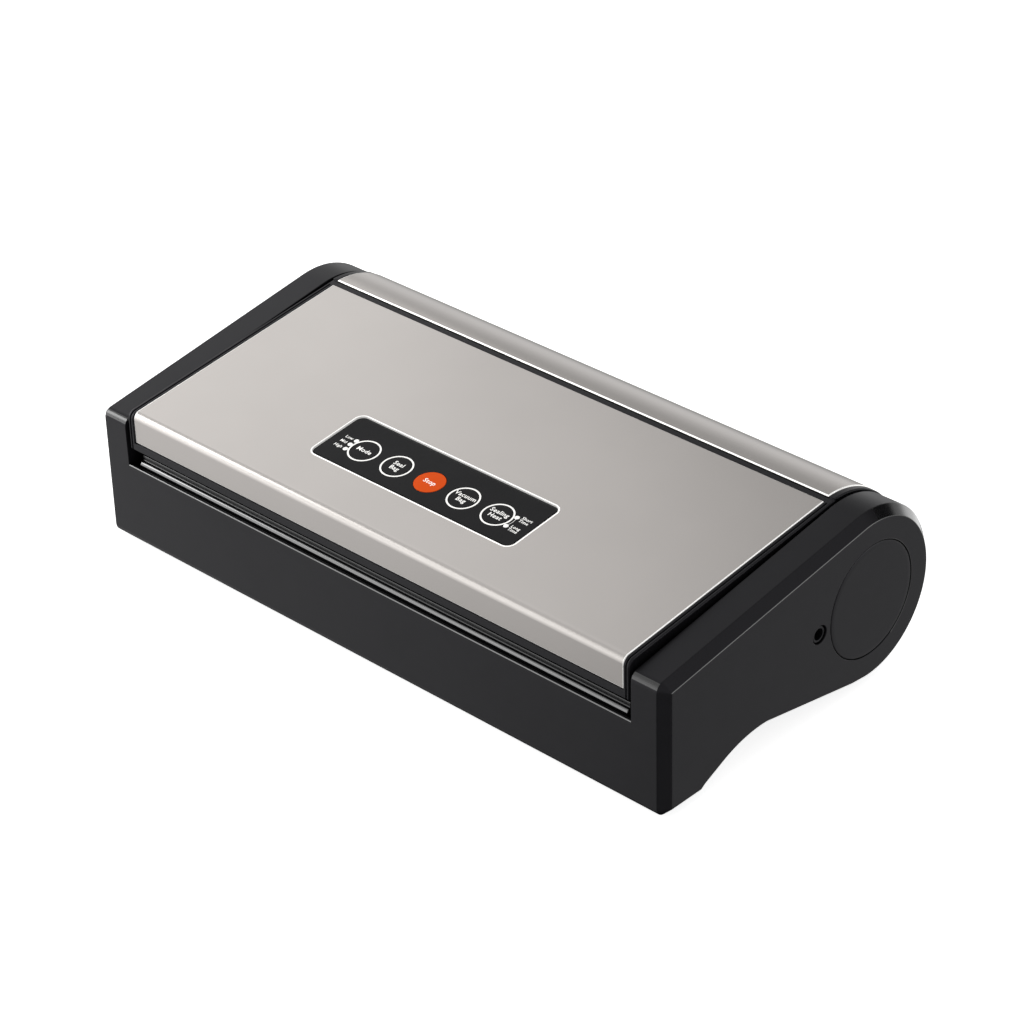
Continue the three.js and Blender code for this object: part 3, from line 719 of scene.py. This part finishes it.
def deck():
    outline = [
        (NOSE_FRONT, NOSE_LOW),
        *arc((NOSE_FRONT + NOSE_R, NOSE_TOP - NOSE_R), NOSE_R, 180, 90, 12),
        (NOSE_STEP, DECK_Z),
        (DECK_BACK, DECK_Z),
        (DECK_BACK, DECK_Z - DECK_T),
        (NOSE_STEP + DECK_T, DECK_Z - DECK_T),
        (NOSE_STEP + DECK_T, NOSE_TOP - DECK_T),
        (NOSE_FRONT + DECK_T, NOSE_TOP - DECK_T),
        (NOSE_FRONT + DECK_T, NOSE_LOW),
    ]
    plate = extruded("work_deck", outline, GAP - CHEEK_IN, CHEEK_IN - GAP, along_x)
    through = (40, 60)
    for name, opening in (("seal", SEAL), ("tray", TRAY)):
        half = (opening["y1"] - opening["y0"]) / 2
        centre = (0, opening["y0"] + half)
        hole = rounded_rectangle(opening["half_x"] + GAP, half + GAP, 1, centre, 4)
        cut(plate, extruded(name, hole, *through, upright))
    cut(plate, block((-172, -167), (40, 50), through))
    for low, high in both(NOSE_HALF, CHEEK_IN):
        cut(plate, block((low, high), (0, NOSE_BACK), through))

    def nose(spot, normal):
        """The front face below the step and its rounded upper edge."""
        return spot.y < NOSE_STEP and spot.z < NOSE_TOP and normal.z < 0.97

    set_finishes(plate, SLOT_OF["deck"], "polished_black")
    ease(plate, 0.4)
    other_finish(plate, nose)
    return stand_for(plate, "deck", "polished_black")


def pump_cover():
    shell = [
        *arc(HINGE, DRUM_R, DRUM_REAR, DRUM_FRONT, 90),
        *arc(HINGE, DRUM_R - COVER_T, DRUM_FRONT, DRUM_REAR, 90),
    ]
    cover = extruded("pump_shell", shell, -DRUM_HALF, DRUM_HALF, along_x)
    for low, high in both(DRUM_HALF - COVER_T, DRUM_HALF):
        join(cover, rod(DRUM_R - 0.6, low, high, HINGE, along_x, 128))
    for screw in SCREWS[2:]:
        join(cover, rod(POST_R, 5, 22, screw, upright))
        cut(cover, rod(SCREW_HOLE_R, 4, 20, screw, upright))
    return stand_for(ease(cover, 0.4), "pump_cover")


def mirrored(side, profile):
    return [(radius, side * x) for radius, x in profile]


def hinge_cap(side, node):
    back = 197.4
    profile = [
        (28, back), (28, 194.2), (28.4, 194), (29.6, 194), (30, 194.2), (30, back),
        (CAP_R - 0.2, back), (CAP_R, back + 0.2),
        (CAP_R, HALF - 0.9), (CAP_R - 0.25, HALF - 0.28), (CAP_R - 0.8, HALF),
        (CAP_R - 3, HALF), (CAP_R - 12, HALF), (2, HALF),
    ]
    cap = turned(node.replace("hinge_cap", "end_cap"), mirrored(side, profile), HINGE, along_x, 160)
    return stand_for(shade(cap), node)


def accessory_port():
    collar = PORT_R + 2
    profile = [
        (PORT_R, 184), (PORT_R, 193.7), (collar, 193.7), (collar, 196.8), (PORT_R, 196.8),
        (PORT_R, 198.8), (4.4, 199.1), (4.1, 199.2), (3.6, 199.2), (3.3, 199.1), (3.2, 198.8),
        (3.2, 187),
    ]
    port = turned("port_nozzle", profile, PORT, along_x, 64)
    join(port, rod(2.4, 42, 47, (188.5, PORT[0]), upright))
    return stand_for(shade(port), "accessory_port")


def power_inlet():
    centre = (INLET_Y, INLET_Z)
    body = rounded_rectangle(INLET_HALF_Y, INLET_HALF_Z, 1, centre)
    flange = rounded_rectangle(INLET_HALF_Y + 2.5, INLET_HALF_Z + 2.5, 1.5, centre)
    inlet = extruded("inlet_body", body, -HALF + 0.2, -184, along_x)
    join(inlet, extruded("flange", flange, -HALF + WALL + 0.4, -193, along_x))
    socket = rounded_rectangle(8.6, 4.4, 4.2, centre, 12)
    cut(inlet, extruded("socket", socket, -HALF - 1, -188, along_x))
    for offset in (-4.3, 4.3):
        pin = [(0.7, -196), (1.2, -195.4), (1.2, -187)]
        join(inlet, turned("pin", pin, (INLET_Y + offset, INLET_Z), along_x, 20))
    return stand_for(ease(inlet, 0.3), "power_inlet")


def foot(i):
    profile = [
        (FOOT_R - 1.6, 0), (FOOT_R - 0.9, 0.15), (FOOT_R - 0.5, 0.6), (FOOT_R - 0.35, 1.2),
        (FOOT_R - 0.1, 1.7), (FOOT_R, 2.2), (FOOT_R, 2.9),
    ]
    pad = turned(f"foot_pad_{CORNER_NAMES[i]}", profile, FEET[i], upright, 40)
    cut(pad, turned("dish", [(2.6, -0.1), (2.2, 0.35)], FEET[i], upright, 32))
    return stand_for(shade(pad), f"foot_{CORNER_NAMES[i]}")


def bottom_screw(i):
    profile = [(2.2, 2.3), (2.8, 2.42), (3, 2.6), (3, 2.9), (1.5, 2.95), (1.5, 17.2), (0.6, 18)]
    x, y = SCREWS[i]
    screw = turned(f"case_screw_{CORNER_NAMES[i]}", profile, (x, y), upright, 32)
    cut(screw, block((x - 1.7, x + 1.7), (y - 0.35, y + 0.35), (2, 2.75)))
    cut(screw, block((x - 0.35, x + 0.35), (y - 1.7, y + 1.7), (2, 2.75)))
    return stand_for(shade(screw), f"bottom_screw_{CORNER_NAMES[i]}")


def drip_tray():
    half = (TRAY["y1"] - TRAY["y0"]) / 2
    centre = (0, TRAY["y0"] + half)
    top = DECK_Z + GAP
    low, wall = TRAY["z0"], 1.6
    rim = rounded_rectangle(TRAY["half_x"] + 3, half + 3, 3.5, centre)
    bowl = rounded_rectangle(TRAY["half_x"], half, 2, centre)
    hollow = rounded_rectangle(TRAY["half_x"] - wall, half - wall, 2, centre)
    tray = extruded("tray", rim, top, top + 1, upright, 0.3)
    join(tray, extruded("bowl", bowl, low, top + 0.5, upright, 0.5))
    cut(tray, extruded("hollow", hollow, low + wall, 70, upright, 0.5))
    join(tray, rod(3, 36, low + 1, (40, 48), upright))
    return stand_for(ease(tray, 0.15), "drip_tray")


def gasket(name, node, low, high):
    """A foam ring with a crowned face, swept round a rounded rectangle."""
    half_y = (GASKET["y1"] - GASKET["y0"]) / 2
    centre = (0, GASKET["y0"] + half_y)
    outline = rounded_rectangle(GASKET["half_x"], half_y, GASKET["radius"], centre, 16)
    width, edge = GASKET["width"], 0.9
    section = soften(rectangle(0, width, low, high), edge, 5)
    rings = [[upright(x, y, z) for x, y in inset(outline, depth)] for depth, z in section]
    return stand_for(shade(loft(name, rings, closed=True), 50), node)


def strip(name, node, half_x, y, z, edge):
    low, high = y
    corner = min(0.8, (high - low) / 4)
    outline = rounded_rectangle(half_x, (high - low) / 2, corner, (0, (low + high) / 2), 4)
    piece = extruded(name, outline, *z, upright, edge)
    return stand_for(shade(piece, 50), node)


housing()
bottom_cover()
deck()
pump_cover()
hinge_cap(-1, "hinge_cap_left")
hinge_cap(1, "hinge_cap_right")
accessory_port()
power_inlet()
for corner in range(4):
    foot(corner)
    bottom_screw(corner)
drip_tray()
gasket("foam_ring_lower", "lower_gasket", DECK_Z + GAP, 59.8)
strip("element_carrier", "heater_bar", SEAL["half_x"], (SEAL["y0"], SEAL["y1"]), (50, 55.6), 0.4)
strip("element_front", "heating_strip_front", SEAL["half_x"] - 2, (15.8, 18.2), (55.9, 56.5), 0.1)
strip("element_rear", "heating_strip_rear", SEAL["half_x"] - 2, (19.8, 22.2), (55.9, 56.5), 0.1)
strip("cover_tape", "ptfe_tape", SEAL["half_x"] + 2, (12, 26), (56.8, 57.2), 0.1)


# ------------------------------------------------------------------ lid
def panel_shape(grow, radius=PANEL_CORNER):
    return rounded_rectangle(PANEL_HALF_X + grow, PANEL_HALF_U + grow, radius + grow, (0, PANEL_U), 10)


def front_angle(radius, z):
    """Where a circle about the hinge passes a height on its way down at the front."""
    return 180 - math.degrees(math.asin((z - HINGE_Z) / radius))


def lid_frame():
    outline = [
        *lid_top(RIM_Y, RIM_Z, FOLD_R + 0.4, 0.3, 153.9),
        *arc(HINGE, REAR_R - 0.3, 92.2, LID_TAIL, 48),
        *arc(HINGE, RING_IN, LID_TAIL, front_angle(RING_IN, RIM_Z), 90),
    ]
    shell = extruded("lid_shell", soften(outline, 0.5, 4, 50), -LID_HALF, LID_HALF, along_x, 0.8)
    cavity, top = RING_IN + 2.6, 4
    reach = HINGE_Z - lid_plane_z(HINGE_Y, -top)
    meet = 90 + LID_SLOPE + math.degrees(math.acos(-reach * COS_LID / cavity))
    mouth = 55
    hollow = [
        *lid_top(4.2, mouth, 2, top, HINGE_Y + cavity * math.cos(math.radians(meet))),
        *arc(HINGE, cavity, meet, front_angle(cavity, mouth), 16),
    ]
    inset_sheet = SHEET + GAP
    top_pocket = [
        *lid_top(LIP_Y + inset_sheet, LIP_Z - GAP, FOLD_R - inset_sheet, inset_sheet, MAIN_END + GAP),
        (MAIN_END + GAP, ABOVE), (-10, ABOVE), (-10, LIP_Z - GAP),
    ]
    low_turn, high_turn = REAR_TO - 0.4, REAR_FROM + 0.4
    rear_pocket = [
        *arc(HINGE, REAR_R - inset_sheet, low_turn, high_turn, 48),
        *arc(HINGE, 62, high_turn, low_turn, 24),
    ]
    pocket_half = STEEL_HALF + GAP
    cut(
        shell,
        extruded("hollow", hollow, -LID_HALF + 2.7, LID_HALF - 2.7, along_x),
        extruded("top_pocket", top_pocket, -pocket_half, pocket_half, along_x),
        extruded("rear_pocket", rear_pocket, -pocket_half, pocket_half, along_x),
        extruded("panel_pocket", panel_shape(0), -2.9, 3, on_lid),
        extruded("board_opening", rounded_rectangle(66, 15.5, 3, (0, PANEL_U)), -12, -2, on_lid),
    )
    groove = [
        *lid_top(RIM_Y + 0.7, RIM_Z - 1, FOLD_R - 0.3, 1.1, MAIN_END),
        (MAIN_END, ABOVE), (-10, ABOVE), (-10, RIM_Z - 1),
    ]
    for low, high in both(*RIM_GROOVE):
        cut(shell, extruded("groove", groove, low, high, along_x))
    for low, high in both(ARM_IN, LID_HALF):
        web = [HINGE, *arc(HINGE, RING_IN + 1, 40, 140, 40)]
        join(shell, extruded("web", web, low, high, along_x), rod(14, low, high, HINGE, along_x, 64))
        cut(shell, rod(PIN_R + GAP, low - 1, high + 1, HINGE, along_x))
    return stand_for(ease(shell, 0.3), "lid_frame")


def with_bright_edges(plate, node, depth):
    """Rounds the outer edges of a steel plate and gives the rounds the lighter glowing edge finish, a painted
    highlight; depth tells how far a spot lies below its surface.
    """
    set_finishes(plate, "brushed_steel", "painted_edge_highlight")
    ease(plate, 0.6, 4, where=lambda spot: depth(spot) < SHEET / 2, slot=1)
    return stand_for(plate, node, "painted_edge_highlight")


def depth_below_top(spot):
    centre_y = LIP_Y + FOLD_R
    centre_z = lid_plane_z(centre_y, -FOLD_R)
    if spot.z < centre_z:
        return spot.y - LIP_Y
    if spot.y < centre_y:
        return FOLD_R - math.hypot(spot.y - centre_y, spot.z - centre_z)
    return (lid_plane_z(spot.y, 0) - spot.z) * COS_LID


def depth_below_rear(spot):
    return REAR_R - math.hypot(spot.y - HINGE_Y, spot.z - HINGE_Z)


def top_plate():
    outer = lid_top(LIP_Y, LIP_Z, FOLD_R, 0, MAIN_END, 18)
    inner = lid_top(LIP_Y + SHEET, LIP_Z, FOLD_R - SHEET, SHEET, MAIN_END, 18)
    plate = extruded("steel_top", [*outer, *reversed(inner)], -STEEL_HALF, STEEL_HALF, along_x)
    cut(plate, extruded("window", panel_shape(0), -3, 3, on_lid))
    return with_bright_edges(plate, "lid_top_plate", depth_below_top)


def rear_plate():
    outline = [
        *arc(HINGE, REAR_R, REAR_TO, REAR_FROM, 80),
        *arc(HINGE, REAR_R - SHEET, REAR_FROM, REAR_TO, 80),
    ]
    plate = extruded("steel_rear", outline, -STEEL_HALF, STEEL_HALF, along_x)
    return with_bright_edges(plate, "rear_cover_plate", depth_below_rear)


def lid_liner():
    liner = block((-LID_HALF + 3, LID_HALF - 3), (4.5, 108), (62.3, 64.5))
    join(liner, block((-170.5, -168.5), (43, 47), (55.4, 63)))
    liner.name = "lid_inner_plate"
    return stand_for(ease(liner, 0.3), "lid_liner")


def panel_highlight_line():
    """A thin line of metal round the panel, all in the lighter glowing edge finish: a painted highlight."""
    section = [
        (-0.25, -1.2), (-0.25, 0), (-0.18, 0.08), (0, 0.12), (0.14, 0.08),
        (0.2, 0), (0.1, -0.08), (0, -0.1), (0, -1.2),
    ]
    rings = [[on_lid(x, u, h) for x, u in panel_shape(grow)] for grow, h in section]
    highlight_line = loft("panel_highlight_line", rings, closed=True)
    set_finishes(highlight_line, "brushed_steel", "painted_edge_highlight")
    other_finish(shade(highlight_line, 50), everywhere)
    return dress(highlight_line, "brushed_steel", "lid", "painted_edge_highlight")


def button_x(i):
    return (i - (len(BUTTON_NAMES) - 1) / 2) * BUTTON_PITCH


def button_radius(name):
    return STOP_R if name == "button_stop" else BUTTON_R


def control_panel():
    border, drop = 1.1, 0.45
    panel = extruded("panel_film", panel_shape(-GAP), -2.6, PANEL_TOP - drop, on_lid, 0.1)
    face = panel_shape(-GAP - border, PANEL_CORNER - 0.2)
    join(panel, extruded("face", face, -2, PANEL_TOP, on_lid, 0.2, 0))
    for i, name in enumerate(BUTTON_NAMES):
        cut(panel, rod(button_radius(name) + 0.25, -4, 1, (button_x(i), BUTTON_U), on_lid, 96))
    for led in LEDS:
        cut(panel, rod(LED_R + 0.2, -4, 1, led, on_lid, 24))
    return stand_for(shade(panel), "control_panel")


def button(i, name):
    radius = button_radius(name)
    profile = [
        (2.2, -5.3), (2.4, -5.1), (2.4, -3.4), (radius - 0.1, -3.4), (radius, -3.3),
        (radius, -0.6), (radius - 0.07, -0.42), (radius - 0.25, KEY_TOP), (1, KEY_TOP),
    ]
    key = turned(name.replace("button", "key"), profile, (button_x(i), BUTTON_U), on_lid, 96)
    return stand_for(shade(key), name)


def status_light(i):
    top = -0.45
    profile = [(LED_R, -6.6), (LED_R, -0.6), (LED_R - 0.1, -0.48), (LED_R - 0.35, top), (0.2, top)]
    lamp = turned(f"lamp_{i + 1}", profile, LEDS[i], on_lid, 32)
    return stand_for(shade(lamp), f"led_{i + 1}")


lid_frame()
top_plate()
rear_plate()
lid_liner()
panel_highlight_line()
control_panel()
for index, button_name in enumerate(BUTTON_NAMES):
    button(index, button_name)
for index in range(len(LEDS)):
    status_light(index)
strip("pressure_strip", "seal_pressure_strip", SEAL["half_x"], (14.5, 23.5), (57.6, 62), 0.9)
gasket("foam_ring_upper", "upper_gasket", 60.1, 62)

# ------------------------------------------------------------------ print on the panel
INK = 0.03
INK_SPREAD = 0.014
INK_RING = (8.06, 9.0)
KEY_TEXT, LAMP_TEXT = 4.1, 2.8


def printed_ring(i, name):
    profile = rectangle(*INK_RING, PANEL_TOP - INK, PANEL_TOP + INK)
    ring = turned(f"ring_{name}", profile, (button_x(i), BUTTON_U), on_lid, 96, closed=True)
    return dress(shade(ring), "white_ink", "lid")


def label(name, words, x, u, height, body, level, align="CENTER"):
    """Printed words, read along the machine."""
    curve = bpy.data.curves.new(name, "FONT")
    curve.body = words
    curve.size = height * MM
    curve.align_x, curve.align_y = align, "CENTER"
    curve.space_character, curve.space_line = 1.08, 0.92
    curve.offset = height * INK_SPREAD * MM
    curve.extrude = INK * MM
    curve.resolution_u = 3
    source = bpy.data.objects.new(name + "_curve", curve)
    bpy.context.scene.collection.objects.link(source)
    depsgraph = bpy.context.evaluated_depsgraph_get()
    mesh = bpy.data.meshes.new_from_object(source.evaluated_get(depsgraph))
    bpy.data.objects.remove(source)
    shape = bmesh.new()
    shape.from_mesh(mesh)
    bmesh.ops.remove_doubles(shape, verts=shape.verts, dist=0.002 * MM)
    shape.to_mesh(mesh)
    shape.free()
    origin = on_lid(x, u, level)
    place = Matrix.Translation(Vector((origin.x, origin.y + FRONT, origin.z)) * MM)
    mesh.transform(place @ Matrix.Rotation(math.radians(LID_SLOPE), 4, "X"))
    piece = bpy.data.objects.new(name, mesh)
    bpy.context.scene.collection.objects.link(piece)
    return dress(piece, "white_ink", body)


KEY_WORDS = {
    "button_mode": "Mode",
    "button_seal": "Seal\nBag",
    "button_stop": "Stop",
    "button_vacuum": "Vacuum\nBag",
    "button_heat": "Sealing\nHeat",
}
SIDE_WORDS = (
    ("Low", -59.3, 53.3), ("Mid", -60.0, 49.3), ("High", -59.3, 45.1),
    ("Short\nTime", 59.3, 53.3), ("Long\nTime", 59.3, 45.1),
)


def printed_arc(name, i, radius, half_angle):
    """A thin line that joins the two lights beside a key."""
    centre = (button_x(i), BUTTON_U)
    outline = [*arc(centre, radius + 0.1, -half_angle, half_angle, 16)]
    outline += arc(centre, radius - 0.1, half_angle, -half_angle, 16)
    line = extruded(name, outline, PANEL_TOP - INK, PANEL_TOP + INK, on_lid)
    return dress(shade(line), "white_ink", "lid")


printed_arc("arc_button_heat", BUTTON_NAMES.index("button_heat"), 10.5, 16)
for index, button_name in enumerate(BUTTON_NAMES):
    if button_name != "button_stop":
        printed_ring(index, button_name)
    words = KEY_WORDS[button_name]
    body = BODY_OF[button_name]
    label(f"label_{button_name}", words, button_x(index), BUTTON_U, KEY_TEXT, body, KEY_TOP)
for index, (words, x, u) in enumerate(SIDE_WORDS):
    side = "RIGHT" if x < 0 else "LEFT"
    label(f"label_lamp_{index + 1}", words, x, u, LAMP_TEXT, "lid", PANEL_TOP, side)

# ------------------------------------------------------------------ pieces inside the machine
for node, piece in frame["nodes"].items():
    piece.data.materials.clear()
    piece.data.materials.append(FINISHES[SLOT_OF[node]])

# ------------------------------------------------------------------ floor, light and surroundings
FLOOR_SIDE = 8.0


def floor():
    half = FLOOR_SIDE / 2
    mesh = bpy.data.meshes.new("floor")
    shape = bmesh.new()
    bmesh.ops.create_grid(shape, x_segments=8, y_segments=8, size=half)
    shape.to_mesh(mesh)
    shape.free()
    piece = bpy.data.objects.new("floor", mesh)
    bpy.context.scene.collection.objects.link(piece)
    finish = Finish("floor_paint", Roughness=0.9, Emission_Color=(1, 1, 1, 1), Emission_Strength=0.8)
    finish.tint(finish.noise(3, 2), (0.86, 0.86, 0.86), (0.88, 0.88, 0.88))
    mesh.materials.append(finish.material)
    piece.visible_glossy = False


def direction(azimuth, elevation):
    """Azimuth 0 points to the front and 90 to the right."""
    a, e = math.radians(azimuth), math.radians(elevation)
    return Vector((math.sin(a) * math.cos(e), -math.cos(a) * math.cos(e), math.sin(e)))


# Brightness of the surroundings against the height of the direction looked in: -1 down, 1 up.
LEVELS = ((-1.0, 0.0), (-0.25, 0.0), (-0.08, 0.604), (0.14, 0.604), (0.32, 0.491), (1.0, 0.491))
# Soft patches of light: azimuth, elevation, full within, gone beyond, brightness.
PATCHES = (
    (-72, -22, 5, 42, 0.98),
    (-32, -12, 6, 26, 0.8),
    (136, -32, 12, 50, 0.52),
    (125, -2, 6, 20, 1.5),
    (46, -32, 10, 35, 0.25),
    (-172, -18, 6, 24, 1.6),
    (-143, -8, 12, 35, 0.287),
    (90, 8, 8, 35, 0.343),
    (139, 36, 8, 30, 0.331),
    (-95, 52, 8, 32, 0.38),
    (-46, 34, 6, 20, 0.34),
)
# A dark flag that the rear of the right cheek looks at.
FLAG = (158, 23, 12, 19)


def surroundings():
    world = bpy.data.worlds.new("studio")
    bpy.context.scene.world = world
    world.use_nodes = True
    tree = world.node_tree
    nodes, links = tree.nodes, tree.links
    ray = nodes.new("ShaderNodeTexCoord").outputs["Generated"]

    def patch(azimuth, elevation, full, gone, outside, inside):
        dot = nodes.new("ShaderNodeVectorMath")
        dot.operation = "DOT_PRODUCT"
        links.new(ray, dot.inputs[0])
        dot.inputs[1].default_value = direction(azimuth, elevation)
        fade = nodes.new("ShaderNodeMapRange")
        fade.interpolation_type = "SMOOTHSTEP"
        fade.inputs["From Min"].default_value = math.cos(math.radians(gone))
        fade.inputs["From Max"].default_value = math.cos(math.radians(full))
        fade.inputs["To Min"].default_value, fade.inputs["To Max"].default_value = outside, inside
        links.new(dot.outputs["Value"], fade.inputs["Value"])
        return fade.outputs["Result"]

    def blend(operation, first, second):
        node = nodes.new("ShaderNodeMath")
        node.operation = operation
        links.new(first, node.inputs[0])
        links.new(second, node.inputs[1])
        return node.outputs["Value"]

    split = nodes.new("ShaderNodeSeparateXYZ")
    links.new(ray, split.inputs["Vector"])
    height = nodes.new("ShaderNodeMapRange")
    height.inputs["From Min"].default_value = -1
    links.new(split.outputs["Z"], height.inputs["Value"])
    ramp = nodes.new("ShaderNodeValToRGB")
    links.new(height.outputs["Result"], ramp.inputs["Fac"])
    elements = ramp.color_ramp.elements
    while len(elements) < len(LEVELS):
        elements.new(0.5)
    for element, (z, level) in zip(elements, LEVELS):
        element.position = (z + 1) / 2
        element.color = (level, level, level, 1)
    total = ramp.outputs["Color"]
    for azimuth, elevation, full, gone, brightness in PATCHES:
        total = blend("ADD", total, patch(azimuth, elevation, full, gone, 0, brightness))
    total = blend("MULTIPLY", total, patch(*FLAG, 1, 0))
    links.new(total, nodes["Background"].inputs["Color"])


def softbox(name, location, target, size, power):
    light = bpy.data.lights.new(name, "AREA")
    light.shape = "RECTANGLE"
    light.size, light.size_y = size
    light.energy = power
    lamp = bpy.data.objects.new(name, light)
    bpy.context.scene.collection.objects.link(lamp)
    toward = Vector(target) - Vector(location)
    turn = toward.to_track_quat("-Z", "Y").to_matrix().to_4x4()
    lamp.matrix_world = Matrix.Translation(location) @ turn


floor()
surroundings()
softbox("key", (-0.66, -0.69, 0.37), (0, 0, 0.08), (0.5, 0.62), 0.773)
softbox("key_left", (-1.0, -0.55, 0.43), (-0.1, 0, 0.08), (0.45, 0.7), 3.3)
softbox("key_right", (-0.38, -0.95, 0.36), (0.1, 0, 0.08), (0.35, 0.4), 0.35)
softbox("left_side", (-0.9, 0, 0.25), (0, 0, 0.08), (0.5, 0.4), 1.717)
softbox("top_left", (-0.95, 0.45, 0.85), (0, 0, 0.08), (0.8, 0.8), 0.734)
softbox("top_near", (-0.62, 0.28, 0.42), (-0.15, 0, 0.08), (0.3, 0.3), 0.061)

bpy.context.scene.view_settings.view_transform = "Standard"
bpy.context.scene.view_settings.look = "None"
